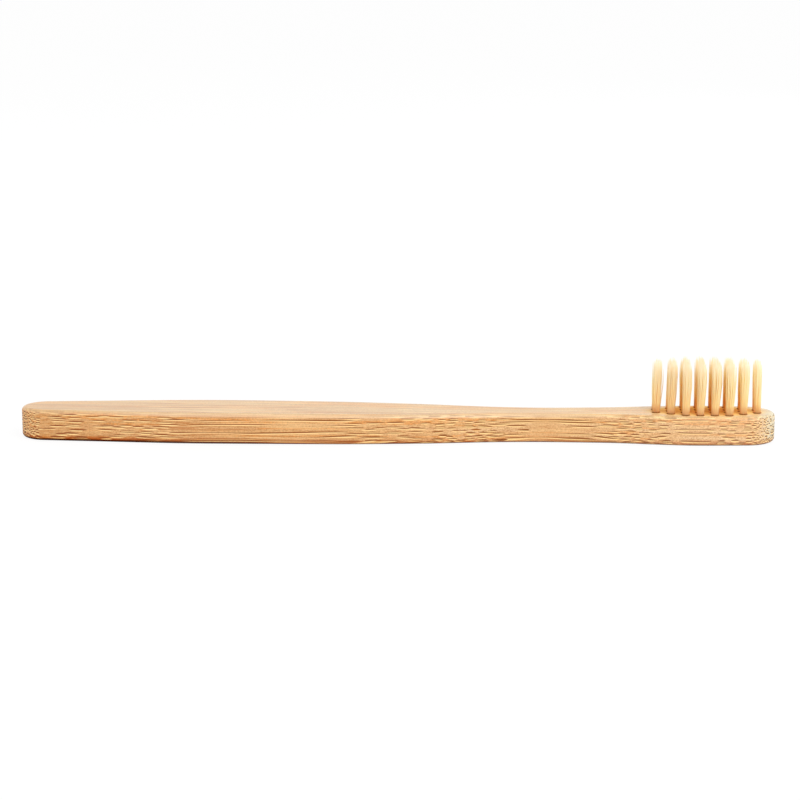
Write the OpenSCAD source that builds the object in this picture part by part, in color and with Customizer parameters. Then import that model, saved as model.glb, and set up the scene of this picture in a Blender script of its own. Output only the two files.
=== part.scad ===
// Manual toothbrush with a one-piece bamboo handle and staple-set nylon tufts.
// It lies on its back: +X runs from the tail to the head and the bristles point along +Z.
// The origin is on the resting plane, under the middle of the length.

/* [Handle] */
// Length from the tail to the tip of the head
handle_l = 145; // [135:1:170]
// Width of the tail where its round end begins
tail_w = 8; // [7:0.1:9]
// Width of the grip at its widest
grip_w = 12.6; // [11:0.1:14]
// Distance of the widest part of the grip from the tail
grip_from_tail = 36.5; // [30:0.5:42]
// Width of the neck at its narrowest
neck_w = 6.5; // [5.6:0.1:8]
// Distance of the narrowest part of the neck from the tip
neck_from_tip = 45.2; // [42:0.2:50]
// Width of the head at its widest
head_w = 10.6; // [10.4:0.1:13]
// Distance of the widest part of the head from the tip
head_from_tip = 15.3; // [13:0.1:17]
// Width that the head tapers to under its round end
head_tip_w = 9.3; // [9:0.1:10.2]

/* [Ends and edges] */
// Length of the round end of the tail
tail_round = 4.5; // [3.5:0.1:7]
// Length of the round end of the head
head_round = 5.3; // [4:0.1:6]
// Radius of the edges along the whole outline
edge_r = 0.85; // [0.4:0.05:1.1]

/* [Thickness] */
// Thickness of the grip
grip_t = 6; // [5.4:0.1:7]
// Thickness of the neck
neck_t = 5.6; // [5.2:0.1:7]
// Thickness of the head
head_t = 5.7; // [5.2:0.1:7]

/* [Tuft holes] */
// Distance between columns along the head
column_pitch = 2.76; // [2.5:0.02:3]
// Distance between tufts across the head
row_pitch = 2.25; // [2.1:0.05:2.35]
// Distance of the last column from the tip of the head
column_from_tip = 3.5; // [3.2:0.1:4.5]
// Diameter of a tuft hole
hole_d = 1.5; // [1.4:0.05:1.7]
// Depth of a tuft hole
hole_depth = 4; // [3:0.1:4.4]

/* [Bristles] */
// Height of the bristles above the head
bristle_h = 10.2; // [8:0.1:12]
// Thickness of one strand
strand_d = 0.18; // [0.14:0.01:0.2]
// Rings of strands round the middle one in a tuft
strand_rings = 2; // [1:1:2]
// Distance between neighbouring strands at the root
strand_pitch = 0.28; // [0.24:0.01:0.29]
// Distance between neighbouring strands at the tips
strand_tip_pitch = 0.38; // [0.28:0.01:0.42]
// Height of the rounded tip of a strand
strand_tip_l = 0.16; // [0.08:0.01:0.3]
// How much lower the outer ring of a tuft ends than its middle strand
tuft_dome = 0.6; // [0:0.1:1]

/* [Anchors] */
// Length of an anchor across its hole
anchor_l = 1.9; // [1.8:0.05:2]
// Height of an anchor
anchor_h = 1.3; // [1:0.1:1.5]
// Thickness of an anchor
anchor_t = 0.26; // [0.2:0.01:0.35]
// Height of an anchor above the floor of its hole, where the strands fold under it
anchor_lift = 0.5; // [0.3:0.1:0.8]
// Turn of an anchor from the length of the brush, in degrees
anchor_turn = 45; // [30:5:60]

/* [Hidden] */
// Tufts in each column across the head, from the neck to the tip
column_tufts = [2, 3, 4, 4, 4, 4, 3, 2];
// Clearance between a tuft root or an anchor and the cut that holds it
fit_clear = 0.02;
// Depth of the top of a tuft root below the face of the head
root_recess = 0.25;
// Depth to which the strands are set into the root
strand_seat = 0.2;
// How far a cut runs past the face that it opens
overrun = 0.5;
// Steps round a quarter of an end, along the flanks and round an edge
end_steps = 8;
flank_steps = 52;
edge_steps = 4;
strand_sides = 4;
hole_fn = 32;

// Points between the named widths, each as a share of the way along and of the change in width
tail_to_grip_shares = [[0.39, 0.45]];
grip_to_neck_shares = [[0.38, 0.05], [0.53, 0.2], [0.67, 0.41], [0.78, 0.68], [0.89, 0.91]];
neck_to_head_shares = [[0.28, 0.08], [0.45, 0.17], [0.6, 0.4], [0.75, 0.71]];
head_to_tip_shares = [[0.5, 0.42]];

tail_x = -handle_l / 2;
tip_x = handle_l / 2;
grip_x = tail_x + grip_from_tail;
neck_x = tip_x - neck_from_tip;
head_x = tip_x - head_from_tip;
column_last = len(column_tufts) - 1;
column_first_x = tip_x - column_from_tip - column_last * column_pitch;
hole_floor_z = head_t - hole_depth;
root_d = hole_d - 2 * fit_clear;
root_top_z = head_t - root_recess;
bristle_top_z = head_t + bristle_h;
bamboo = [0.90, 0.74, 0.55];
nylon = [0.99, 0.92, 0.72];
brass = [0.80, 0.68, 0.40];

function tuft_name(column, row) = str("tuft_c", column + 1, "_r", row + 1);

// Width along the handle

function between(from, to, shares) =
    [for (share = shares) [for (axis = [0, 1]) from[axis] + share[axis] * (to[axis] - from[axis])]];

tail_station = [tail_x, tail_w];
grip_station = [grip_x, grip_w];
neck_station = [neck_x, neck_w];
head_station = [head_x, head_w];
tip_station = [tip_x, head_tip_w];
width_stations = concat(
    [tail_station],
    between(tail_station, grip_station, tail_to_grip_shares),
    [grip_station],
    between(grip_station, neck_station, grip_to_neck_shares),
    [neck_station],
    between(neck_station, head_station, neck_to_head_shares),
    [head_station],
    between(head_station, tip_station, head_to_tip_shares),
    [tip_station]);
last_station = len(width_stations) - 1;

function rise(i) =
    (width_stations[i + 1][1] - width_stations[i][1]) / (width_stations[i + 1][0] - width_stations[i][0]);

// The slope is zero at each peak and waist, so the outline never passes a named width
function slope(i) =
    i == 0 ? rise(0)
    : i == last_station ? rise(i - 1)
    : rise(i - 1) * rise(i) <= 0 ? 0
    : 2 * rise(i - 1) * rise(i) / (rise(i - 1) + rise(i));

slopes = [for (i = [0:last_station]) slope(i)];

function station_before(x, i = 0) =
    i == last_station - 1 || x <= width_stations[i + 1][0] ? i : station_before(x, i + 1);

function curve(from, to, from_slope, to_slope, span, t) =
    from * (2 * t ^ 3 - 3 * t ^ 2 + 1) + to * (3 * t ^ 2 - 2 * t ^ 3)
    + span * (from_slope * (t ^ 3 - 2 * t ^ 2 + t) + to_slope * (t ^ 3 - t ^ 2));

function spline_width(x, i) =
    let (from = width_stations[i], to = width_stations[i + 1], span = to[0] - from[0])
    curve(from[1], to[1], slopes[i], slopes[i + 1], span, (x - from[0]) / span);

function width(x) = spline_width(x, station_before(x));

// Thickness along the handle

function ease(t) = t <= 0 ? 0 : t >= 1 ? 1 : t ^ 2 * (3 - 2 * t);

head_flat_x = column_first_x - column_pitch;

function thickness(x) =
    x < neck_x
    ? grip_t + (neck_t - grip_t) * ease((x - grip_x) / (neck_x - grip_x))
    : neck_t + (head_t - neck_t) * ease((x - neck_x) / (head_flat_x - neck_x));

// One side of the outline from the tail to the tip, as [x, half width]

flank_from = tail_x + tail_round;
flank_to = tip_x - head_round;
side = concat(
    [for (i = [0:end_steps - 1])
        let (a = 90 * i / end_steps, x = tail_x + tail_round * (1 - cos(a)))
        [x, width(x) / 2 * sin(a)]],
    [for (i = [0:flank_steps])
        let (x = flank_from + (flank_to - flank_from) * i / flank_steps)
        [x, width(x) / 2]],
    [for (i = [end_steps - 1:-1:0])
        let (a = 90 * i / end_steps, x = tip_x - head_round * (1 - cos(a)))
        [x, width(x) / 2 * sin(a)]]);
side_last = len(side) - 1;
outline = concat(
    [for (point = side) [point[0], -point[1]]],
    [for (i = [side_last - 1:-1:1]) side[i]]);
outline_n = len(outline);

function outward(i) =
    let (
        ahead = outline[(i + 1) % outline_n],
        behind = outline[(i + outline_n - 1) % outline_n],
        along = ahead - behind)
    [along[1], -along[0]] / norm(along);

outwards = [for (i = [0:outline_n - 1]) outward(i)];

// Outlines stacked from the back face to the top face, drawn in along both edges

function layer(angle, top) =
    [for (i = [0:outline_n - 1])
        let (
            point = outline[i] - outwards[i] * edge_r * (1 - sin(angle)),
            depth = edge_r * (1 - cos(angle)))
        [point[0], point[1], top ? thickness(point[0]) - depth : depth]];

angles = [for (i = [0:edge_steps]) 90 * i / edge_steps];
layers = concat(
    [for (angle = angles) layer(angle, false)],
    [for (i = [edge_steps:-1:0]) layer(angles[i], true)]);
layer_last = len(layers) - 1;

function wall_faces() =
    [for (k = [0:layer_last - 1], i = [0:outline_n - 1], half = [0, 1])
        let (
            low = k * outline_n,
            high = low + outline_n,
            next = (i + 1) % outline_n)
        half == 0 ? [low + i, high + next, low + next] : [low + i, high + i, high + next]];

// Each cap is a row of flat strips that run straight across the handle
function cap_faces(start, up) =
    [for (i = [0:side_last - 1], half = [0, 1])
        let (
            near = start + i,
            near_next = near + 1,
            far = start + (outline_n - i) % outline_n,
            far_next = start + outline_n - i - 1,
            face = half == 0 ? [near, near_next, far_next] : [near, far_next, far])
        if (!(half == 0 && i == side_last - 1) && !(half == 1 && i == 0))
            up ? [face[0], face[2], face[1]] : face];

module blank() {
    polyhedron(
        points = [for (l = layers, point = l) point],
        faces = concat(
            wall_faces(),
            cap_faces(0, false),
            cap_faces(layer_last * outline_n, true)),
        convexity = 6);
}

// Tuft holes and their anchors

function tuft_x(column) = column_first_x + column * column_pitch;
function tuft_y(column, row) = (row - (column_tufts[column] - 1) / 2) * row_pitch;

module at_tuft(column, row) {
    translate([tuft_x(column), tuft_y(column, row), 0])
        children();
}

module at_each_tuft() {
    for (column = [0:column_last])
        for (row = [0:column_tufts[column] - 1])
            at_tuft(column, row)
                children();
}

// An anchor: a clearance turns it into the cut round it, and a greater height into its slit
module anchor(clear = 0, height = anchor_h) {
    translate([0, 0, hole_floor_z + anchor_lift - clear])
        rotate([0, 0, anchor_turn])
            translate([-anchor_l / 2 - clear, -anchor_t / 2 - clear, 0])
                cube([anchor_l + 2 * clear, anchor_t + 2 * clear, height + 2 * clear]);
}

module tuft_hole() {
    translate([0, 0, hole_floor_z])
        cylinder(d = hole_d, h = hole_depth + overrun, $fn = hole_fn);
    anchor(fit_clear, hole_depth - anchor_lift + overrun);
}

module bamboo_handle() {
    color(bamboo)
        difference() {
            blank();
            at_each_tuft()
                tuft_hole();
        }
}

module anchor_wires() {
    color(brass)
        at_each_tuft()
            anchor();
}

// A tuft: strands that lean outwards from a root, the packed folds of the strands in the hole

function ring_strands(ring) = ring == 0 ? 1 : 6 * ring;

module strand(ring, turn) {
    foot_z = root_top_z - strand_seat;
    tip_z = bristle_top_z - tuft_dome * (ring / strand_rings) ^ 2;
    sides = [0:strand_sides - 1];
    corners = [for (i = sides) [cos(360 * i / strand_sides), sin(360 * i / strand_sides)]];
    foot = ring * strand_pitch * [cos(turn), sin(turn)];
    tip = ring * strand_tip_pitch * [cos(turn), sin(turn)];
    polyhedron(
        points = concat(
            [for (corner = corners) concat(foot + corner * strand_d / 2, [foot_z])],
            [for (corner = corners) concat(tip + corner * strand_d / 2, [tip_z - strand_tip_l])],
            [concat(tip, [tip_z])]),
        faces = concat(
            [for (i = [1:strand_sides - 2]) [0, i, i + 1]],
            [for (i = sides) [i, strand_sides + (i + 1) % strand_sides, (i + 1) % strand_sides]],
            [for (i = sides) [i, strand_sides + i, strand_sides + (i + 1) % strand_sides]],
            [for (i = sides) [strand_sides + i, 2 * strand_sides, strand_sides + (i + 1) % strand_sides]]));
}

module root() {
    difference() {
        translate([0, 0, hole_floor_z + fit_clear])
            cylinder(d = root_d, h = hole_depth - fit_clear - root_recess, $fn = hole_fn);
        anchor(fit_clear);
    }
}

module tuft(column, row) {
    color(nylon)
        at_tuft(column, row) {
            root();
            for (ring = [0:strand_rings])
                for (i = [0:ring_strands(ring) - 1])
                    strand(ring, 360 * i / ring_strands(ring));
        }
}

bamboo_handle();
anchor_wires();
for (column = [0:column_last])
    for (row = [0:column_tufts[column] - 1])
        tuft(column, row);
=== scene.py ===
import math
import random

import bpy
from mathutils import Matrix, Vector


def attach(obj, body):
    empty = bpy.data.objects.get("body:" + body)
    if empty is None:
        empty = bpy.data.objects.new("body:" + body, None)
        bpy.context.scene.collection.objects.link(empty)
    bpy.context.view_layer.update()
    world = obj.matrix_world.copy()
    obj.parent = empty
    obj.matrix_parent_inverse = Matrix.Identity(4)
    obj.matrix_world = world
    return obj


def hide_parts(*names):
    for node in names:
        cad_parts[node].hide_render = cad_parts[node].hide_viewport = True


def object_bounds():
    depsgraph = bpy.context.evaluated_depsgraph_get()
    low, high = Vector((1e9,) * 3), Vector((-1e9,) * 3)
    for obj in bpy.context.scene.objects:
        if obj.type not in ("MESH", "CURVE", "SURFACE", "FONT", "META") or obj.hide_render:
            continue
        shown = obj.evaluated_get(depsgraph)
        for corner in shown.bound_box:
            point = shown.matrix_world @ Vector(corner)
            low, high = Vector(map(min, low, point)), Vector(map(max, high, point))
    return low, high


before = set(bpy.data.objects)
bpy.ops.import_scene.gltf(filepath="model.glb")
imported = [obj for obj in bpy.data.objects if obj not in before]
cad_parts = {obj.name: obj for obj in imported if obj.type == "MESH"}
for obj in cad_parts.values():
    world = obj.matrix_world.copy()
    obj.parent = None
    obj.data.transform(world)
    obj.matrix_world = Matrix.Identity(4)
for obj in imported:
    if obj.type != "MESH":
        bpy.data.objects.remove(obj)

# The object's lengths are in millimetres, and every mesh is scaled to metres when it is made.
# The frame is the CAD model's: +X from the tail to the head, bristles up along +Z.
MM = 0.001
cad_low, cad_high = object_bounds()

# Handle: the same named sizes as the CAD source
HANDLE_L = 145.0
TAIL_W = 8.0
GRIP_W = 12.6
GRIP_FROM_TAIL = 36.5
NECK_W = 6.5
NECK_FROM_TIP = 45.2
HEAD_W = 10.6
HEAD_FROM_TIP = 15.3
HEAD_TIP_W = 9.3
TAIL_ROUND = 4.5
HEAD_ROUND = 5.3
EDGE_R = 0.85
GRIP_T = 6.0
NECK_T = 5.6
HEAD_T = 5.7

# Points between the named widths: share of the way along, share of the change in width
TAIL_TO_GRIP = [(0.39, 0.45)]
GRIP_TO_NECK = [(0.38, 0.05), (0.53, 0.2), (0.67, 0.41), (0.78, 0.68), (0.89, 0.91)]
NECK_TO_HEAD = [(0.28, 0.08), (0.45, 0.17), (0.6, 0.4), (0.75, 0.71)]
HEAD_TO_TIP = [(0.5, 0.42)]

# Tufts, holes and anchors
COLUMN_TUFTS = [2, 3, 4, 4, 4, 4, 3, 2]
COLUMN_PITCH = 2.76
ROW_PITCH = 2.25
COLUMN_FROM_TIP = 3.5
HOLE_R = 0.75
HOLE_DEPTH = 4.0
BRISTLE_H = 10.2
ANCHOR_L = 1.9
ANCHOR_H = 1.3
ANCHOR_T = 0.26
ANCHOR_LIFT = 0.5
ANCHOR_TURN = math.radians(45)
FIT_CLEAR = 0.02

TAIL_X = -HANDLE_L / 2
TIP_X = HANDLE_L / 2
GRIP_X = TAIL_X + GRIP_FROM_TAIL
NECK_X = TIP_X - NECK_FROM_TIP
HEAD_X = TIP_X - HEAD_FROM_TIP
COLUMN_FIRST_X = TIP_X - COLUMN_FROM_TIP - (len(COLUMN_TUFTS) - 1) * COLUMN_PITCH
HEAD_FLAT_X = COLUMN_FIRST_X - COLUMN_PITCH
HOLE_FLOOR_Z = HEAD_T - HOLE_DEPTH
ANCHOR_Z = HOLE_FLOOR_Z + ANCHOR_LIFT
BRISTLE_TOP_Z = HEAD_T + BRISTLE_H


# Camera, lamps and surroundings, with lengths in metres, but the lens and its sensor in millimetres

CAMERA_ELEVATION = math.radians(13.02)
CAMERA_YAW = math.radians(-1.62)
CAMERA_TARGET = Vector((0.595, 0, 7.51)) * MM
CAMERA_DISTANCE = 489.08 * MM
CAMERA_LENS = 114.39
CAMERA_SENSOR_W = 36.0
CAMERA_CLIP = (0.01, 50.0)

WORLD_LIGHT = 0.9
KEY_POWER = 1.7
KEY_SIZE = 0.45
KEY_PLACE = Vector((0.3, -0.32, 0.45))
SIDE_POWER = 0.9
SIDE_SIZE = 0.3
SIDE_PLACE = Vector((0.36, 0.46, 0.1))
FILL_POWER = 0.4
FILL_SIZE = 0.3
FILL_PLACE = Vector((-0.42, 0.34, 0.12))
FLOOR_SIZE = 6.0
FLOOR_GLOW = 0.9
FLOOR_GLOSS_GLOW = 0.3

# Light that wanders between the pale filaments needs more turns than usual
LIGHT_BOUNCES = 96
DIFFUSE_BOUNCES = 64


def srgb(red, green, blue):
    """A colour as a picture shows it, from 0 to 255, as the linear colour that a shader takes."""
    def linear(value):
        share = value / 255
        return share / 12.92 if share <= 0.04045 else ((share + 0.055) / 1.055) ** 2.4
    return (linear(red), linear(green), linear(blue), 1.0)


WHITE = (1.0, 1.0, 1.0, 1.0)
FLOOR_WHITE = srgb(250, 250, 250)


def look(thing, target):
    """Turns a lamp or camera to face a point."""
    thing.rotation_euler = (target - thing.location).to_track_quat("-Z", "Y").to_euler()


def make_camera():
    data = bpy.data.cameras.new("camera")
    data.lens = CAMERA_LENS
    data.sensor_width = CAMERA_SENSOR_W
    data.clip_start, data.clip_end = CAMERA_CLIP
    camera = bpy.data.objects.new("camera", data)
    bpy.context.collection.objects.link(camera)
    ahead = Vector((
        math.sin(CAMERA_YAW) * math.cos(CAMERA_ELEVATION),
        math.cos(CAMERA_YAW) * math.cos(CAMERA_ELEVATION),
        -math.sin(CAMERA_ELEVATION)))
    camera.location = CAMERA_TARGET - ahead * CAMERA_DISTANCE
    look(camera, CAMERA_TARGET)
    bpy.context.scene.camera = camera


class Graph:
    """A short way to write a node tree. add gives the new node, and what follows feed gives outputs."""

    def __init__(self, tree):
        self.tree = tree

    def add(self, kind, inputs=None, **settings):
        node = self.tree.nodes.new("ShaderNode" + kind)
        for name, value in settings.items():
            setattr(node, name, value)
        for name, value in (inputs or {}).items():
            self.feed(node.inputs[name], value)
        return node

    def feed(self, socket, value):
        if isinstance(value, bpy.types.NodeSocket):
            self.tree.links.new(value, socket)
        elif value is not None:
            socket.default_value = value

    def math(self, operation, *values, clamp=False):
        return self.add("Math", dict(enumerate(values)), operation=operation, use_clamp=clamp).outputs[0]

    def remap(self, value, low, high, to_low=0.0, to_high=1.0, smooth=False):
        kind = "SMOOTHSTEP" if smooth else "LINEAR"
        node = self.add("MapRange", interpolation_type=kind)
        for name, number in (("Value", value), ("From Min", low), ("From Max", high),
                             ("To Min", to_low), ("To Max", to_high)):
            self.feed(node.inputs[name], number)
        return node.outputs["Result"]

    def mix(self, share, first, second, blend="MIX"):
        node = self.add("Mix", data_type="RGBA", blend_type=blend)
        sockets = {s.identifier: s for s in node.inputs}
        self.feed(sockets["Factor_Float"], share)
        self.feed(sockets["A_Color"], first)
        self.feed(sockets["B_Color"], second)
        return next(s for s in node.outputs if s.identifier == "Result_Color")

    def combine(self, x, y, z):
        return self.add("CombineXYZ", {"X": x, "Y": y, "Z": z}).outputs[0]

    def separate(self, vector):
        return self.add("SeparateXYZ", {"Vector": vector}).outputs

    def scaled(self, vector, factors):
        return self.add("VectorMath", {0: vector, 1: factors}, operation="MULTIPLY").outputs[0]

    def length(self, vector):
        return self.add("VectorMath", {0: vector}, operation="LENGTH").outputs["Value"]

    def noise(self, vector, detail=2.0, roughness=0.5, output="Fac"):
        inputs = {"Vector": vector, "Scale": 1.0, "Detail": detail, "Roughness": roughness}
        return self.add("TexNoise", inputs).outputs[output]


def new_tree(owner):
    owner.use_nodes = True
    owner.node_tree.nodes.clear()
    return Graph(owner.node_tree)


def plain_rays(graph, seen_share=1.0, gloss_share=1.0):
    """How far a ray should find plain white: one of the camera or of glass, or one of gloss."""
    path = graph.add("LightPath").outputs
    seen = graph.math("MAXIMUM", path["Is Camera Ray"], path["Is Transmission Ray"])
    seen = graph.math("MULTIPLY", seen, seen_share)
    return graph.math("MAXIMUM", seen, graph.math("MULTIPLY", path["Is Glossy Ray"], gloss_share))


def make_world():
    world = bpy.data.worlds.new("surroundings")
    bpy.context.scene.world = world
    graph = new_tree(world)
    strength = graph.remap(plain_rays(graph), 0.0, 1.0, WORLD_LIGHT, 1.0)
    background = graph.add("Background", {"Color": WHITE, "Strength": strength})
    graph.add("OutputWorld", {"Surface": background.outputs[0]})


def make_lamp(name, power, size, place, glare=True):
    data = bpy.data.lights.new(name, "AREA")
    data.shape = "DISK"
    data.size = size
    data.energy = power
    lamp = bpy.data.objects.new(name, data)
    bpy.context.collection.objects.link(lamp)
    lamp.location = place
    lamp.visible_glossy = glare
    look(lamp, Vector((0, 0, 0)))


def make_floor():
    """A white floor that glows for the camera, and less for gloss, so the shadow on it stays faint."""
    mesh = bpy.data.meshes.new("floor")
    half = FLOOR_SIZE / 2
    corners = [(-half, -half, 0), (half, -half, 0), (half, half, 0), (-half, half, 0)]
    mesh.from_pydata(corners, [], [(0, 1, 2, 3)])
    floor = bpy.data.objects.new("floor", mesh)
    bpy.context.collection.objects.link(floor)
    material = bpy.data.materials.new("floor_white")
    graph = new_tree(material)
    matt = graph.add("BsdfDiffuse", {"Color": FLOOR_WHITE})
    glow = graph.add("Emission", {"Color": WHITE, "Strength": 1.0})
    share = plain_rays(graph, FLOOR_GLOW, FLOOR_GLOSS_GLOW)
    surface = graph.add("MixShader", {0: share, 1: matt.outputs[0], 2: glow.outputs[0]})
    graph.add("OutputMaterial", {"Surface": surface.outputs[0]})
    mesh.materials.append(material)


# Outline and thickness of the handle, as in the CAD source

def between(start, end, shares):
    return [tuple(start[k] + share[k] * (end[k] - start[k]) for k in (0, 1)) for share in shares]


TAIL_STATION = (TAIL_X, TAIL_W)
GRIP_STATION = (GRIP_X, GRIP_W)
NECK_STATION = (NECK_X, NECK_W)
HEAD_STATION = (HEAD_X, HEAD_W)
TIP_STATION = (TIP_X, HEAD_TIP_W)
STATIONS = (
    [TAIL_STATION, *between(TAIL_STATION, GRIP_STATION, TAIL_TO_GRIP),
     GRIP_STATION, *between(GRIP_STATION, NECK_STATION, GRIP_TO_NECK),
     NECK_STATION, *between(NECK_STATION, HEAD_STATION, NECK_TO_HEAD),
     HEAD_STATION, *between(HEAD_STATION, TIP_STATION, HEAD_TO_TIP), TIP_STATION])
RISES = [(b[1] - a[1]) / (b[0] - a[0]) for a, b in zip(STATIONS, STATIONS[1:])]


def slope(i):
    """Slope of the width at a station, which is zero at each peak and waist."""
    if i == 0 or i == len(STATIONS) - 1:
        return RISES[min(i, len(RISES) - 1)]
    before, after = RISES[i - 1], RISES[i]
    return 0.0 if before * after <= 0 else 2 * before * after / (before + after)


def width(x):
    """Width at a place along the handle, on one smooth curve through the stations."""
    i = 0
    while i < len(STATIONS) - 2 and x > STATIONS[i + 1][0]:
        i += 1
    (from_x, from_w), (to_x, to_w) = STATIONS[i], STATIONS[i + 1]
    span = to_x - from_x
    t = (x - from_x) / span
    return (from_w * (2 * t**3 - 3 * t**2 + 1) + to_w * (3 * t**2 - 2 * t**3)
            + span * (slope(i) * (t**3 - 2 * t**2 + t) + slope(i + 1) * (t**3 - t**2)))


def ease(t):
    t = min(max(t, 0.0), 1.0)
    return t * t * (3 - 2 * t)


def thickness(x):
    if x < NECK_X:
        return GRIP_T + (NECK_T - GRIP_T) * ease((x - GRIP_X) / (NECK_X - GRIP_X))
    return NECK_T + (HEAD_T - NECK_T) * ease((x - NECK_X) / (HEAD_FLAT_X - NECK_X))


# Handle

END_STEPS = 18
FLANK_STEPS = 150
EDGE_STEPS = 8
SUPPORT = 0.25
MOUTH_FLARE = 0.07
CUT_OVER = 0.5
HOLE_SIDES = 40
SHARP_ANGLE = math.radians(32)


def walls(start, rings, count):
    """Faces between stacked rings of count points each, the first of them numbered start."""
    faces = []
    for k in range(rings - 1):
        low, high = start + k * count, start + (k + 1) * count
        for i in range(count):
            j = (i + 1) % count
            faces.append((low + i, low + j, high + j, high + i))
    return faces


def mesh_of(name, points, faces):
    """A mesh from points in millimetres."""
    mesh = bpy.data.meshes.new(name)
    mesh.from_pydata([(x * MM, y * MM, z * MM) for x, y, z in points], [], faces)
    mesh.validate()
    return mesh


def piece_of(name, mesh):
    piece = bpy.data.objects.new(name, mesh)
    bpy.context.collection.objects.link(piece)
    return piece


def one_side():
    """One side of the outline from the tail to the tip, as (x, half width)."""
    most = cad_high.y / MM
    points = []
    for i in range(END_STEPS):
        a = math.pi / 2 * i / END_STEPS
        x = TAIL_X + TAIL_ROUND * (1 - math.cos(a))
        points.append((x, width(x) / 2 * math.sin(a)))
    start, end = TAIL_X + TAIL_ROUND, TIP_X - HEAD_ROUND
    for i in range(FLANK_STEPS + 1):
        x = start + (end - start) * i / FLANK_STEPS
        points.append((x, min(width(x) / 2, most)))
    for i in reversed(range(END_STEPS)):
        a = math.pi / 2 * i / END_STEPS
        x = TIP_X - HEAD_ROUND * (1 - math.cos(a))
        points.append((x, width(x) / 2 * math.sin(a)))
    return points


def blank_mesh():
    """The blank without holes: outlines stacked from the back to the top, drawn in along both edges."""
    side = one_side()
    outline = [Vector((x, -y)) for x, y in side] + [Vector((x, y)) for x, y in side[-2:0:-1]]
    count = len(outline)
    outwards = []
    for i in range(count):
        along = outline[(i + 1) % count] - outline[i - 1]
        outwards.append(Vector((along.y, -along.x)).normalized())

    def layer(inset, z_of):
        points = [p - n * inset for p, n in zip(outline, outwards)]
        return [(p.x, p.y, z_of(p.x)) for p in points]

    angles = [math.pi / 2 * i / EDGE_STEPS for i in range(EDGE_STEPS + 1)]
    turns = [(EDGE_R * (1 - math.sin(a)), EDGE_R * (1 - math.cos(a))) for a in angles]
    layers = [layer(EDGE_R + SUPPORT, lambda x: 0.0)]
    layers += [layer(inset, lambda x, d=depth: d) for inset, depth in turns]
    layers += [layer(0.0, lambda x: EDGE_R + SUPPORT), layer(0.0, lambda x: thickness(x) - EDGE_R - SUPPORT)]
    layers += [layer(inset, lambda x, d=depth: thickness(x) - d) for inset, depth in reversed(turns)]
    layers.append(layer(EDGE_R + SUPPORT, thickness))

    points = [p for one in layers for p in one]
    faces = walls(0, len(layers), count)
    last = len(side) - 1
    for start, up in ((0, False), ((len(layers) - 1) * count, True)):
        for i in range(last):
            near, near_next = start + i, start + i + 1
            far, far_next = start + (count - i) % count, start + (count - i - 1) % count
            ring = [near, near_next, far_next, far]
            ring = [v for n, v in enumerate(ring) if v not in ring[:n]]
            faces.append(tuple(ring if up else reversed(ring)))
    return mesh_of("handle", points, faces)


def tuft_places():
    """Name, column and middle of each tuft, from the neck to the tip and from the viewer's side."""
    for column, tufts in enumerate(COLUMN_TUFTS):
        x = COLUMN_FIRST_X + column * COLUMN_PITCH
        for row in range(tufts):
            yield f"c{column + 1}_r{row + 1}", column, x, (row - (tufts - 1) / 2) * ROW_PITCH


def hole_cutters():
    """Round cutters whose mouths flare a little."""
    flared = HOLE_R + 2 * MOUTH_FLARE
    profile = [(HOLE_R, HOLE_FLOOR_Z), (HOLE_R, HEAD_T - MOUTH_FLARE),
               (flared, HEAD_T + MOUTH_FLARE), (flared, HEAD_T + CUT_OVER)]
    points, faces = [], []
    for _, _, x, y in tuft_places():
        start = len(points)
        for radius, z in profile:
            for i in range(HOLE_SIDES):
                a = 2 * math.pi * i / HOLE_SIDES
                points.append((x + radius * math.cos(a), y + radius * math.sin(a), z))
        faces += walls(start, len(profile), HOLE_SIDES)
        faces.append(tuple(start + i for i in reversed(range(HOLE_SIDES))))
        top = start + (len(profile) - 1) * HOLE_SIDES
        faces.append(tuple(top + i for i in range(HOLE_SIDES)))
    return mesh_of("hole_cutters", points, faces)


def slit_cutters():
    """The slit that each anchor cuts on both sides of its hole as it is pressed in."""
    along = Vector((math.cos(ANCHOR_TURN), math.sin(ANCHOR_TURN)))
    across = Vector((-along.y, along.x))
    half_l, half_t = ANCHOR_L / 2 + FIT_CLEAR, ANCHOR_T / 2 + FIT_CLEAR
    points, faces = [], []
    for _, _, x, y in tuft_places():
        start = len(points)
        for z in (ANCHOR_Z - FIT_CLEAR, HEAD_T + CUT_OVER):
            for u, v in ((-1, -1), (1, -1), (1, 1), (-1, 1)):
                p = Vector((x, y)) + along * half_l * u + across * half_t * v
                points.append((p.x, p.y, z))
        faces += [tuple(start + v for v in lid) for lid in ((3, 2, 1, 0), (4, 5, 6, 7))]
        faces += walls(start, 2, 4)
    return mesh_of("slit_cutters", points, faces)


def cut(piece, cutter_mesh):
    """Cuts one mesh out of a piece for good."""
    cutter = piece_of(cutter_mesh.name, cutter_mesh)
    modifier = piece.modifiers.new("cut", "BOOLEAN")
    modifier.operation = "DIFFERENCE"
    modifier.solver = "EXACT"
    modifier.object = cutter
    graph = bpy.context.evaluated_depsgraph_get()
    made = bpy.data.meshes.new_from_object(piece.evaluated_get(graph))
    piece.modifiers.clear()
    old, piece.data = piece.data, made
    bpy.data.meshes.remove(old)
    bpy.data.objects.remove(cutter)
    bpy.data.meshes.remove(cutter_mesh)


def smooth(mesh):
    mesh.polygons.foreach_set("use_smooth", [True] * len(mesh.polygons))
    mesh.set_sharp_from_angle(angle=SHARP_ANGLE)


# Bamboo: bundles of fibre that run along the handle through paler tissue, so each face shows them
# as the real one does, as long lines where it runs with them, dashes where it slants and dots at the ends

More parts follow.
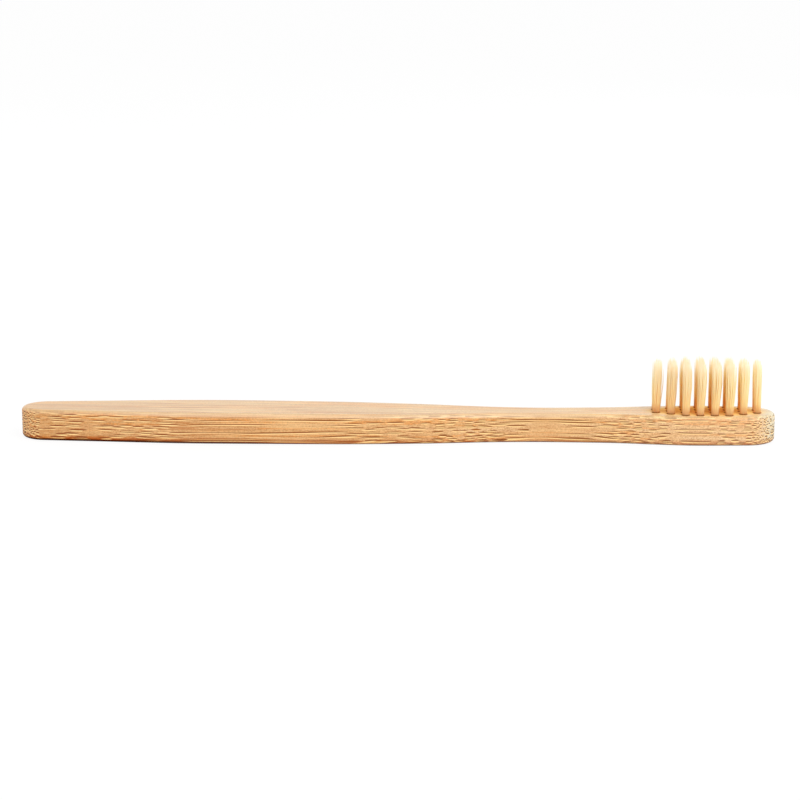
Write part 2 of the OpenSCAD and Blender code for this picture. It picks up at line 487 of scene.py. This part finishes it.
BUNDLE_CELL_Y = 0.31
BUNDLE_CELL_Z = 0.46
LOW_BUNDLE_CELL_Y = 0.30
LOW_BUNDLE_CELL_Z = 0.38
LOW_BUNDLE_SEED = 40.5
BUNDLE_HALF_Y = 0.125
BUNDLE_HALF_Z = 0.135
BUNDLE_OFFSET = 0.09
BUNDLE_SCATTER = 0.85
WANDER_Y = 0.2
WANDER_Z_TOP, WANDER_Z_BACK = 0.5, 1.6
END_DOT_SIZE = 1.4
END_FEWER = 0.22
SPARSE_MOST = 0.42
FIELD_X = COLUMN_FIRST_X + (len(COLUMN_TUFTS) - 1) * COLUMN_PITCH / 2
FIELD_HALF_L = 11.8
FIELD_HALF_W = 4.7
SCORCH_AND_SHADE_FROM, SCORCH_AND_SHADE_TO = HOLE_R + 0.02, HOLE_R + 0.2
FOOT_SHADOW_LIFT = 0.22

# Stretches of the handle, in its own millimetres, over which the wood changes
RUNOUT_X, RUNOUT = (59.0, 75.0), 1.5
SPARSE_X = (5.0, 22.0)
PLAINEST_X = (31.0, 48.0)
STRONGER_X = (61.0, 68.0)
LINES_BEGIN_X = (-54.0, -44.0)
LINES_END_X = (-22.0, -8.0)
TAILWARD_X = (-10.0, -45.0)
BACK_EDGE_SHADE_X = (-36.0, -47.0)
EDGE_HIGHLIGHT_BEGIN_X = (-66.0, -45.0)
EDGE_HIGHLIGHT_END_X = (25.0, 50.0)
PALE_HEAD_X = (35.0, 60.0)
TIP_GRAIN_X = (TIP_X - 4.5, TIP_X - 0.5)

TISSUE_TAIL = srgb(197, 135, 78)
TISSUE_HEAD = srgb(232, 198, 153)
TISSUE_STREAK = srgb(210, 151, 75)
TISSUE_PATCH = srgb(224, 168, 110)
TISSUE_AMBER = srgb(224, 136, 40)
TISSUE_STIPPLE = srgb(166, 110, 54)
TISSUE_PLAIN = srgb(200, 146, 88)
TISSUE_THREAD = srgb(240, 202, 144)
LINE_DARK = srgb(176, 100, 36)
LINE_PALE = srgb(250, 210, 148)
END_GRAIN_TAIL = srgb(208, 150, 99)
END_GRAIN_HEAD = srgb(238, 211, 166)
END_GRAIN_TIP = srgb(200, 197, 174)
BACK_EDGE_DARK_AND_SHADE = srgb(188, 100, 26)
BACK_SMEAR = srgb(170, 80, 8)
FIELD_LIGHT_MIDDLE = srgb(255, 203, 108)
FIELD_LIGHT_RIM = srgb(254, 212, 138)
CORE = srgb(250, 212, 146)
LOW_CORE = srgb(240, 192, 120)
RIM_TAIL = srgb(138, 68, 6)
RIM_HEAD = srgb(138, 80, 14)
RIM_END = srgb(56, 30, 12)
LOW_RIM_TAIL = srgb(152, 72, 8)
LOW_RIM_HEAD = srgb(154, 90, 18)
SCORCH_AND_SHADE = srgb(198, 95, 10)
FOOT_SHADOW = srgb(66, 26, 6)
ROUNDED_EDGE_HIGHLIGHT = srgb(232, 201, 168)
PALE_HEAD = srgb(232, 214, 190)

# Shares by which a colour's red, green and blue are multiplied, for the back edge's painted shade and the
# top's painted sheen
BACK_EDGE_SHADE_TINT = (0.86, 0.66, 0.46, 1.0)
TOP_SHEEN_TAIL = (0.99, 1.105, 1.11, 1.0)
TOP_SHEEN_HEAD = (1.015, 1.14, 1.18, 1.0)


def mouth_distance(g, x, y):
    """Distance across the top from the middle of the nearest tuft hole, in millimetres."""
    # The columns gain a tuft each from the neck until they have the most, and lose one each at the tip
    last = len(COLUMN_TUFTS) - 1
    column = g.math("ROUND", g.math("DIVIDE", g.math("SUBTRACT", x, COLUMN_FIRST_X), COLUMN_PITCH))
    column = g.math("MINIMUM", g.math("MAXIMUM", column, 0.0), last)
    tufts = g.math("MINIMUM", g.math("ADD", column, COLUMN_TUFTS[0]), max(COLUMN_TUFTS))
    tufts = g.math("MINIMUM", tufts, g.math("SUBTRACT", last + COLUMN_TUFTS[-1], column))
    middle = g.math("DIVIDE", g.math("SUBTRACT", tufts, 1.0), 2.0)
    row = g.math("ROUND", g.math("ADD", g.math("DIVIDE", y, ROW_PITCH), middle))
    row = g.math("MINIMUM", g.math("MAXIMUM", row, 0.0), g.math("SUBTRACT", tufts, 1.0))
    column_x = g.math("MULTIPLY", column, COLUMN_PITCH)
    row_y = g.math("MULTIPLY", g.math("SUBTRACT", row, middle), ROW_PITCH)
    from_x = g.math("SUBTRACT", g.math("SUBTRACT", x, COLUMN_FIRST_X), column_x)
    return g.length(g.combine(from_x, g.math("SUBTRACT", y, row_y), 0.0))


def bamboo():
    material = bpy.data.materials.new("bamboo")
    g = new_tree(material)
    coords = g.add("TexCoord").outputs
    x, y, z = g.separate(g.scaled(coords["Object"], (1 / MM,) * 3))
    headward = g.remap(x, TAIL_X, TIP_X)
    tailward = g.remap(x, *TAILWARD_X, smooth=True)

    def at(along, across, upward):
        """A texture place whose detail is this long, wide and high in millimetres."""
        return g.combine(g.math("DIVIDE", x, along), g.math("DIVIDE", y, across), g.math("DIVIDE", z, upward))

    # Fibres wander a little, more so near the back, which was the outside of the stem
    wander = g.separate(g.noise(at(17.0, 3.0, 2.0), detail=1.0, output="Color"))
    reach = g.remap(z, 0.0, 3.5, WANDER_Z_BACK, WANDER_Z_TOP)
    drift_y = g.math("MULTIPLY", g.math("SUBTRACT", wander[0], 0.5), WANDER_Y)
    drift_z = g.math("MULTIPLY", g.math("SUBTRACT", wander[1], 0.5), reach)
    # Near the tip they slant across the blank
    runout = g.remap(x, *RUNOUT_X, 0.0, RUNOUT)
    fibre_y = g.math("ADD", g.math("ADD", y, drift_y), runout)
    fibre_z = g.math("ADD", z, drift_z)

    # Where the ends of the handle cut across the bundles, they show as dark dots
    facing = g.separate(coords["Normal"])
    ends = g.remap(g.math("ABSOLUTE", facing[0]), 0.45, 0.9, smooth=True)
    dot_size = g.remap(ends, 0.0, 1.0, 1.0, END_DOT_SIZE)
    fewer = g.math("MULTIPLY", ends, END_FEWER)

    # Where the neck and head run with the fibres, fewer bundles come to the surface
    along_fibres = g.remap(g.math("ABSOLUTE", facing[0]), 0.0, 0.06, 1.0, 0.0)
    sparse = g.math("MULTIPLY", along_fibres, g.remap(x, *SPARSE_X, 0.0, SPARSE_MOST))

    def bundles(cell_y, cell_z, seed, keep_low, keep_high):
        """Dark upper and pale lower part of a set of bundles, kept from keep_low at the back to keep_high."""
        cell_place = g.math("ADD", g.math("DIVIDE", fibre_y, cell_y), seed)
        cell = g.combine(cell_place, g.math("DIVIDE", fibre_z, cell_z), 0.0)
        found = g.add("TexVoronoi", {"Vector": cell, "Scale": 1.0, "Randomness": BUNDLE_SCATTER},
                      voronoi_dimensions="2D", feature="F1")
        chance = g.separate(found.outputs["Color"])
        middle = found.outputs["Position"]
        keep = g.remap(g.separate(middle)[1], 0.0, GRIP_T / cell_z, keep_low, keep_high)
        spare = g.math("SUBTRACT", g.math("SUBTRACT", keep, g.math("ADD", sparse, fewer)), chance[0])
        kept = g.remap(spare, 0.0, 0.03)
        size = g.math("MULTIPLY", g.remap(chance[1], 0.0, 1.0, 0.75, 1.25), dot_size)
        offset = g.add("VectorMath", {0: cell, 1: middle}, operation="SUBTRACT").outputs[0]

        def spot(rise, inner):
            """An oval this far above the bundle's middle, full inside the inner share of its size."""
            lowered = (0.0, -rise / cell_z, 0.0)
            moved = g.add("VectorMath", {0: offset, 1: lowered}, operation="ADD").outputs[0]
            far = g.length(g.scaled(moved, (cell_y / BUNDLE_HALF_Y, cell_z / BUNDLE_HALF_Z, 0.0)))
            inside = g.remap(g.math("DIVIDE", far, size), inner, 1.1, 1.0, 0.0, smooth=True)
            return g.math("MULTIPLY", kept, inside)

        strength = g.remap(chance[2], 0.0, 1.0, 0.7, 1.2)
        strength = g.math("MULTIPLY", strength, g.remap(x, NECK_X, TIP_X, 1.0, 0.8))
        strength = g.math("MULTIPLY", strength, g.remap(sparse, 0.0, SPARSE_MOST, 1.0, 1.3))
        strength = g.math("MULTIPLY", strength, g.remap(x, *STRONGER_X, 1.0, 1.35))
        return g.math("MULTIPLY", spot(BUNDLE_OFFSET, 0.7), strength, clamp=True), spot(-BUNDLE_OFFSET, 0.5)

    rim, core = bundles(BUNDLE_CELL_Y, BUNDLE_CELL_Z, 0.0, 0.95, 0.75)
    low_rim, low_core = bundles(LOW_BUNDLE_CELL_Y, LOW_BUNDLE_CELL_Z, LOW_BUNDLE_SEED, 0.85, -0.9)

    # Tissue between the bundles
    streak = g.noise(at(45.0, 1.3, 0.9))
    patch = g.noise(at(18.0, 2.5, 1.6), detail=1.0)
    stipple = g.noise(at(0.32, 0.2, 0.2), roughness=0.7)
    thread = g.noise(at(3.0, 0.1, 0.1))
    amber = g.noise(at(22.0, 1.5, 0.5), detail=1.0)
    high_up = g.remap(z, 3.6, 4.6, 0.0, 0.1)
    plain = g.math("MULTIPLY", sparse, g.remap(x, *PLAINEST_X, 0.9, 0.1))
    tissue = g.mix(headward, TISSUE_TAIL, TISSUE_HEAD)
    tissue = g.mix(g.remap(streak, 0.35, 0.65, 0.5, 0.0), tissue, TISSUE_STREAK)
    tissue = g.mix(g.remap(patch, 0.45, 0.7, 0.0, 0.6), tissue, TISSUE_PATCH)
    tissue = g.mix(g.remap(g.math("ADD", amber, high_up), 0.6, 0.66, 0.0, 0.7), tissue, TISSUE_AMBER)
    tissue = g.mix(g.remap(stipple, 0.44, 0.6, 0.0, 0.75), tissue, TISSUE_STIPPLE)
    tissue = g.mix(plain, tissue, TISSUE_PLAIN)
    tissue = g.mix(g.remap(thread, 0.4, 0.6, 0.0, 0.35), tissue, TISSUE_THREAD)

    # Fine lines show best where the flank runs with the fibres at the grip
    strand_y, strand_z = g.math("DIVIDE", fibre_y, 0.2), g.math("DIVIDE", fibre_z, 0.15)
    strand = g.noise(g.combine(g.math("DIVIDE", x, 26.0), strand_y, strand_z), detail=1.0)
    lined = g.math("MULTIPLY", g.remap(x, *LINES_BEGIN_X, 0.3, 1.0), g.remap(x, *LINES_END_X, 1.0, 0.4))
    dark_line = g.math("MULTIPLY", g.remap(strand, 0.56, 0.61), lined)
    pale_line = g.math("MULTIPLY", g.remap(strand, 0.43, 0.38), lined)
    tissue = g.mix(g.math("MULTIPLY", dark_line, 0.7), tissue, LINE_DARK)
    tissue = g.mix(g.math("MULTIPLY", pale_line, 0.55), tissue, LINE_PALE)

    # End grain is browner at the tail, and paler and greyer at the tip
    grain = g.mix(headward, END_GRAIN_TAIL, END_GRAIN_HEAD)
    tissue = g.mix(g.math("MULTIPLY", ends, 0.7), tissue, grain)
    tissue = g.mix(g.remap(x, *TIP_GRAIN_X, 0.0, 0.7, smooth=True), tissue, END_GRAIN_TIP)

    # The back edge holds the darkest fibres, most of all near the tail, and is painted darker low down as
    # shade by the floor
    smear = g.noise(at(8.0, 1.5, 0.4), detail=1.0)
    edge_height = g.remap(z, 0.1, 1.3, 1.0, 0.0, smooth=True)
    back_fibres_and_shade = g.math("MULTIPLY", edge_height, g.remap(patch, 0.35, 0.6, 1.0, 0.3))
    tissue = g.mix(back_fibres_and_shade, tissue, BACK_EDGE_DARK_AND_SHADE)
    smears = g.math("MULTIPLY", g.remap(smear, 0.45, 0.53), g.remap(z, 0.3, 1.6, 1.0, 0.0, smooth=True))
    tissue = g.mix(g.math("MULTIPLY", smears, g.remap(tailward, 0.0, 1.0, 0.4, 1.0)), tissue, BACK_SMEAR)

    # The head's top between the tufts is painted warmer and brighter, painted light for the warm light let
    # through the tufts, and is without wax there
    on_top = g.remap(facing[2], 0.3, 0.8, smooth=True)
    field_x = g.math("DIVIDE", g.math("SUBTRACT", x, FIELD_X), FIELD_HALF_L)
    field_reach = g.length(g.combine(field_x, g.math("DIVIDE", y, FIELD_HALF_W), 0.0))
    lit_bare_field = g.math("MULTIPLY", on_top, g.remap(field_reach, 0.75, 1.1, 1.0, 0.0, smooth=True))
    tissue = g.mix(lit_bare_field, tissue, g.mix(g.remap(field_reach, 0.35, 0.95), FIELD_LIGHT_MIDDLE, FIELD_LIGHT_RIM))

    # The bundles themselves, of which the main set fades near the top
    clear = g.remap(z, 5.35, 5.65, 1.0, 0.35, smooth=True)
    rim_colour = g.mix(ends, g.mix(headward, RIM_TAIL, RIM_HEAD), RIM_END)
    colour = g.mix(g.math("MULTIPLY", low_core, 0.8), tissue, LOW_CORE)
    colour = g.mix(low_rim, colour, g.mix(headward, LOW_RIM_TAIL, LOW_RIM_HEAD))
    colour = g.mix(g.math("MULTIPLY", core, clear), colour, CORE)
    colour = g.mix(g.math("MULTIPLY", rim, clear), colour, rim_colour)

    # The holes are scorched where the drill went in, and the ring is painted deeper as painted shade at the
    # foot of each tuft
    near_hole = g.remap(mouth_distance(g, x, y), SCORCH_AND_SHADE_FROM, SCORCH_AND_SHADE_TO, 0.9, 0.0)
    colour = g.mix(g.math("MULTIPLY", on_top, near_hole), colour, SCORCH_AND_SHADE)

    # The foot of the back edge is painted darkest, a painted contact shadow where it rests on the floor,
    # higher near the tail
    above_foot = g.math("SUBTRACT", z, g.remap(tailward, 0.0, 1.0, 0.0, FOOT_SHADOW_LIFT))
    foot = g.remap(above_foot, 0.16, 0.46, 1.0, 0.0, smooth=True)
    colour = g.mix(g.math("MULTIPLY", foot, g.remap(tailward, 0.0, 1.0, 0.6, 0.95)), colour, FOOT_SHADOW)

    # The back edge is painted darker and warmer, a painted shade where it meets the floor, and keeps less
    # wax, most of all near the tail
    back_height = g.remap(z, 0.15, 1.5, 1.0, 0.0, smooth=True)
    back_edge_shade = g.math("MULTIPLY", back_height, g.remap(x, *BACK_EDGE_SHADE_X, 0.25, 1.0))
    colour = g.mix(back_edge_shade, colour, BACK_EDGE_SHADE_TINT, blend="MULTIPLY")

    # The top is painted paler, a painted sheen for the white reflection it catches at a low angle
    colour = g.mix(on_top, colour, g.mix(headward, TOP_SHEEN_TAIL, TOP_SHEEN_HEAD), blend="MULTIPLY")

    # The rounded edge round the top is painted paler than the flank below it along the handle, a painted
    # highlight where it turns up to the light
    edge_highlight_reach = g.math("MULTIPLY", g.remap(x, *EDGE_HIGHLIGHT_BEGIN_X, 0.25, 0.5), g.remap(x, *EDGE_HIGHLIGHT_END_X, 1.0, 0.2))
    rounded = g.math("MULTIPLY", g.remap(facing[2], 0.05, 0.5, smooth=True), g.remap(facing[2], 1.0, 0.9))
    colour = g.mix(g.math("MULTIPLY", rounded, edge_highlight_reach), colour, ROUNDED_EDGE_HIGHLIGHT)

    # The handle turns a little paler towards the head
    colour = g.mix(g.remap(x, *PALE_HEAD_X, 0.0, 0.07), colour, PALE_HEAD)

    # Bundles lie a little below the sanded surface, and the tissue is rough between them
    height = g.math("MULTIPLY", g.math("ADD", rim, low_rim), -1.0)
    height = g.math("ADD", height, g.math("MULTIPLY", thread, 0.5))
    height = g.math("ADD", height, g.math("MULTIPLY", stipple, 0.3))
    bump = g.add("Bump", {"Strength": 0.5, "Distance": 0.03 * MM, "Height": height})
    roughness = g.remap(g.math("ADD", stipple, streak), 0.6, 1.4, 0.42, 0.58)
    common = {
        "Base Color": colour, "Roughness": roughness, "IOR": 1.5, "Specular IOR Level": 0.0,
        "Normal": bump.outputs[0]}
    waxed = g.add("BsdfPrincipled", {
        **common, "Coat Weight": 1.0, "Coat Roughness": 0.28, "Coat IOR": 1.4,
        "Sheen Weight": 0.25, "Sheen Roughness": 0.35})
    unwaxed = g.add("BsdfPrincipled", common)
    # The wax soaks into the end grain, which keeps less of a coat
    soaked = g.math("MULTIPLY", ends, 0.7)
    dry = g.math("MAXIMUM", lit_bare_field, g.math("MAXIMUM", soaked, back_edge_shade))
    surface = g.add("MixShader", {0: dry, 1: waxed.outputs[0], 2: unwaxed.outputs[0]})
    g.add("OutputMaterial", {"Surface": surface.outputs[0]})
    return material


def make_handle():
    piece = piece_of("handle", blank_mesh())
    cut(piece, hole_cutters())
    cut(piece, slit_cutters())
    smooth(piece.data)
    piece.data.materials.clear()
    piece.data.materials.append(bamboo())
    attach(piece, "root")
    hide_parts("bamboo_handle")


# Bristles: each tuft is 28 nylon filaments, folded under its anchor so that 56 ends stand up

FILAMENT_R = 0.076
FILAMENT_SIDES = 6
FILAMENT_PITCH = 0.15
FOLD_ROWS = [9, 8, 7, 4]
FOLD_DROP = 0.7
FOLD_POINTS = 5
PACKED_R = len(FOLD_ROWS) * FILAMENT_PITCH
PACKED_DOWN_TO = ANCHOR_Z + ANCHOR_H + 0.45
BESIDE_ANCHOR_FROM = ANCHOR_Z + ANCHOR_H - 0.1
MOUTH_SPREAD = 1.08
TIP_MARGIN = 0.01
TIP_DOME = 0.6
TIP_UNEVEN = 1.1
TIP_JITTER = 0.1
LEAN_JITTER = 0.03
BOW = 0.04
TIP_TAPER = [(0.0, 0.0), (0.04, 0.24), (0.4, 0.4), (1.4, 0.68), (3.0, 1.0)]
TWIST_LOW, TWIST_HIGH = math.radians(3), math.radians(23)
STAND_STEPS = 6
# By column: lean of the tips towards the head's tip, set of random draws, spread of the tips from the mouth
COLUMN_LEANS = [0.29, 0.32, 0.13, 0.2, 0.32, 0.25, 0.22, -0.06]
COLUMN_DRAWS = [5, 5, 3, 4, 1, 6, 0, 6]
COLUMN_SPREADS = [1.42, 1.34, 1.42, 1.42, 1.42, 1.42, 1.42, 1.15]


def tube(path, radii, side, points, faces):
    """Adds a closed tube along a path, turned with the side vector. Its ends run to a point."""
    first = len(points)
    last = len(path) - 1
    for k, (place, radius) in enumerate(zip(path, radii)):
        ahead = (path[min(k + 1, last)] - path[max(k - 1, 0)]).normalized()
        across = (side - ahead * side.dot(ahead)).normalized()
        other = ahead.cross(across)
        if k in (0, last):
            points.append(tuple(place))
            continue
        for i in range(FILAMENT_SIDES):
            a = 2 * math.pi * i / FILAMENT_SIDES
            points.append(tuple(place + (across * math.cos(a) + other * math.sin(a)) * radius))
    start, end = first + 1, len(points) - 1
    end_ring = end - FILAMENT_SIDES
    turns = [(i, (i + 1) % FILAMENT_SIDES) for i in range(FILAMENT_SIDES)]
    faces.extend((first, start + j, start + i) for i, j in turns)
    faces.extend(walls(start, last - 1, FILAMENT_SIDES))
    faces.extend((end_ring + i, end_ring + j, end) for i, j in turns)


def filament_half(u, row, hand, lean, spread, twist, rng):
    """Places from the tip down to beside the anchor, along the anchor and across it."""
    packed = Vector((u, hand * (row + 0.5) * FILAMENT_PITCH))
    reach = packed.length / PACKED_R
    jitter = Vector((rng.gauss(0, 1), rng.gauss(0, 1))) * TIP_JITTER
    turned = Vector((
        packed.x * math.cos(twist) - packed.y * math.sin(twist),
        packed.x * math.sin(twist) + packed.y * math.cos(twist)))
    tip = turned * spread + jitter + lean
    tip_z = BRISTLE_TOP_Z - TIP_MARGIN - TIP_DOME * reach ** 2 - TIP_UNEVEN * rng.random() ** 2
    mouth = packed * MOUTH_SPREAD
    bow = Vector((rng.gauss(0, 1), rng.gauss(0, 1))) * BOW
    path, radii = [], []
    for drop, share in TIP_TAPER:
        path.append(Vector((tip.x, tip.y, tip_z - drop)))
        radii.append(FILAMENT_R * share)
    start_z = path[-1].z
    for i in range(1, STAND_STEPS + 1):
        t = i / STAND_STEPS
        flat = tip.lerp(mouth, t) + bow * math.sin(math.pi * t)
        path.append(Vector((flat.x, flat.y, start_z + (HEAD_T - start_z) * t)))
        radii.append(FILAMENT_R)
    beside = Vector((u, hand * (ANCHOR_T / 2 + FIT_CLEAR + FILAMENT_R + row * FILAMENT_PITCH)))
    for flat, z in ((mouth, PACKED_DOWN_TO), (beside, BESIDE_ANCHOR_FROM), (beside, ANCHOR_Z)):
        path.append(Vector((flat.x, flat.y, z)))
        radii.append(FILAMENT_R)
    return path, radii


def fold(u, row):
    """Places of the bend under the anchor, from one side to the other."""
    reach = ANCHOR_T / 2 + FIT_CLEAR + FILAMENT_R + row * FILAMENT_PITCH
    drop = FILAMENT_R + row * FOLD_DROP * FILAMENT_PITCH + FIT_CLEAR
    turns = [math.pi * (k + 1) / (FOLD_POINTS + 1) for k in range(FOLD_POINTS)]
    return [Vector((u, reach * math.cos(a), ANCHOR_Z - drop * math.sin(a))) for a in turns]


def tuft_mesh(name, column, x, y):
    rng = random.Random(f"tuft {name} {COLUMN_DRAWS[column]}")
    along = Vector((math.cos(ANCHOR_TURN), math.sin(ANCHOR_TURN), 0))
    across = Vector((-along.y, along.x, 0))
    lean_x = COLUMN_LEANS[column] + rng.gauss(0, 1) * LEAN_JITTER
    lean = Vector((lean_x * along.x, lean_x * across.x))
    spread = COLUMN_SPREADS[column]
    twist = rng.uniform(TWIST_LOW, TWIST_HIGH)
    points, faces = [], []
    for row, count in enumerate(FOLD_ROWS):
        for i in range(count):
            u = (i - (count - 1) / 2) * FILAMENT_PITCH
            left, left_radii = filament_half(u, row, 1, lean, spread, twist, rng)
            right, right_radii = filament_half(u, row, -1, lean, spread, twist, rng)
            bend = fold(u, row)
            flat_path = left + bend + right[::-1]
            radii = left_radii + [FILAMENT_R] * len(bend) + right_radii[::-1]
            path = [Vector((x, y, p.z)) + along * p.x + across * p.y for p in flat_path]
            tube(path, radii, along, points, faces)
    return mesh_of("bristles_" + name, points, faces)


# Looks of the bristles. Each pair of colours is for the neck's end and the tip's end of the head. The inner
# rows are a copy painted for the shade between the rows: deeper yellow low down, deeper orange further up the
# foot, and a touch paler up high to lift that shade.
OUTER_NYLON = {
    "low": (srgb(254.4, 243.6, 192), srgb(254.4, 246, 193)),
    "high": (srgb(252.6, 249.2, 231), srgb(253.8, 253, 234)),
    "foot": srgb(240, 172, 84), "foot_reach": 0.18}
INNER_SHADED_NYLON = {
    "low": (srgb(255, 248, 164), srgb(255, 249, 162)),
    "high": (srgb(253.5, 250, 231), srgb(254, 252.6, 232)),
    "foot": srgb(255, 208, 58), "foot_reach": 0.36}
BRISTLE_TIP_HIGHLIGHT = srgb(254, 252, 247)
BRISTLE_VARIED = srgb(255, 220, 140)
BRISTLE_MOUTH_SHADE = srgb(186, 98, 24)
NYLON_HAZE = (9000.0, 9000.0, 700.0)
NYLON_LET_THROUGH = 0.55


def nylon(name, low, high, foot, foot_reach):
    """Nylon whose colour runs from the foot through low to high on a bristle, and along the head, with its
    light and shade painted in.
    """
    material = bpy.data.materials.new(name)
    g = new_tree(material)
    place = g.add("TexCoord").outputs["Object"]
    x, _, z = g.separate(place)
    height = g.remap(z, HEAD_T * MM, BRISTLE_TOP_Z * MM)
    along = g.remap(x, COLUMN_FIRST_X * MM, (TIP_X - COLUMN_FROM_TIP) * MM)
    single = g.add("NewGeometry").outputs["Random Per Island"]
    # Painted shade and light: deeper and warmer low down, where the tufts shade each other and take warm
    # light off the bamboo, and nearly white at the tips, a painted highlight for the light through them
    colour = g.mix(g.remap(height, 0.0, 0.75), g.mix(along, *low), g.mix(along, *high))
    colour = g.mix(g.remap(height, 0.65, 1.0, 0.0, 0.75, smooth=True), colour, BRISTLE_TIP_HIGHLIGHT)
    colour = g.mix(g.remap(single, 0.0, 1.0, 0.0, 0.22), colour, BRISTLE_VARIED)
    # Painted shade: deeper orange up the foot, and brown just at the mouth of the hole
    colour = g.mix(g.remap(height, 0.0, foot_reach, 0.5, 0.0), colour, foot)
    colour = g.mix(g.remap(height, 0.0, 0.025, 0.8, 0.0, smooth=True), colour, BRISTLE_MOUTH_SHADE)
    haze = g.noise(g.scaled(place, NYLON_HAZE))
    bump = g.add("Bump", {"Strength": 0.15, "Distance": 0.01 * MM, "Height": haze})
    body = g.add("BsdfPrincipled", {
        "Base Color": colour, "Roughness": g.remap(haze, 0.3, 0.7, 0.3, 0.42), "IOR": 1.53,
        "Specular IOR Level": 0.2, "Normal": bump.outputs[0]})
    through = g.add("BsdfTranslucent", {"Color": colour})
    surface = g.add("MixShader", {0: NYLON_LET_THROUGH, 1: body.outputs[0], 2: through.outputs[0]})
    g.add("OutputMaterial", {"Surface": surface.outputs[0]})
    return material


def make_bristles():
    outer = nylon("nylon_outer", **OUTER_NYLON)
    inner = nylon("nylon_inner_shaded", **INNER_SHADED_NYLON)
    for name, column, x, y in tuft_places():
        piece = piece_of("bristles_" + name, tuft_mesh(name, column, x, y))
        outermost = abs(y) > (COLUMN_TUFTS[column] / 2 - 1) * ROW_PITCH
        piece.data.materials.append(outer if outermost else inner)
        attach(piece, "root")
        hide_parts("tuft_" + name)


# Anchors: the CAD model's own solids, with a drawn brass finish

BRASS_PALE = srgb(214, 184, 116)
BRASS_DARK = srgb(186, 150, 84)
DRAWN_GRAIN = (4000.0, 4000.0, 30000.0)


def brass():
    material = bpy.data.materials.new("anchor_brass")
    g = new_tree(material)
    place = g.scaled(g.add("TexCoord").outputs["Object"], DRAWN_GRAIN)
    drawn = g.noise(place, detail=3.0)
    colour = g.mix(g.remap(drawn, 0.3, 0.7), BRASS_PALE, BRASS_DARK)
    bump = g.add("Bump", {"Strength": 0.3, "Distance": 0.005 * MM, "Height": drawn})
    shader = g.add("BsdfPrincipled", {
        "Base Color": colour, "Metallic": 1.0, "Roughness": g.remap(drawn, 0.3, 0.7, 0.28, 0.45),
        "Normal": bump.outputs[0]})
    g.add("OutputMaterial", {"Surface": shader.outputs[0]})
    return material


def finish_anchors():
    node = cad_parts["anchor_wires"]
    finish = brass()
    if not node.material_slots:
        node.data.materials.append(finish)
    for place in node.material_slots:
        place.material = finish


make_camera()
make_world()
make_lamp("key", KEY_POWER, KEY_SIZE, KEY_PLACE)
make_lamp("side", SIDE_POWER, SIDE_SIZE, SIDE_PLACE, glare=False)
make_lamp("fill", FILL_POWER, FILL_SIZE, FILL_PLACE, glare=False)
make_floor()
make_handle()
make_bristles()
finish_anchors()

scene = bpy.context.scene
scene.view_settings.view_transform = "Standard"
scene.cycles.max_bounces = LIGHT_BOUNCES
scene.cycles.diffuse_bounces = DIFFUSE_BOUNCES
scene.cycles.transmission_bounces = LIGHT_BOUNCES
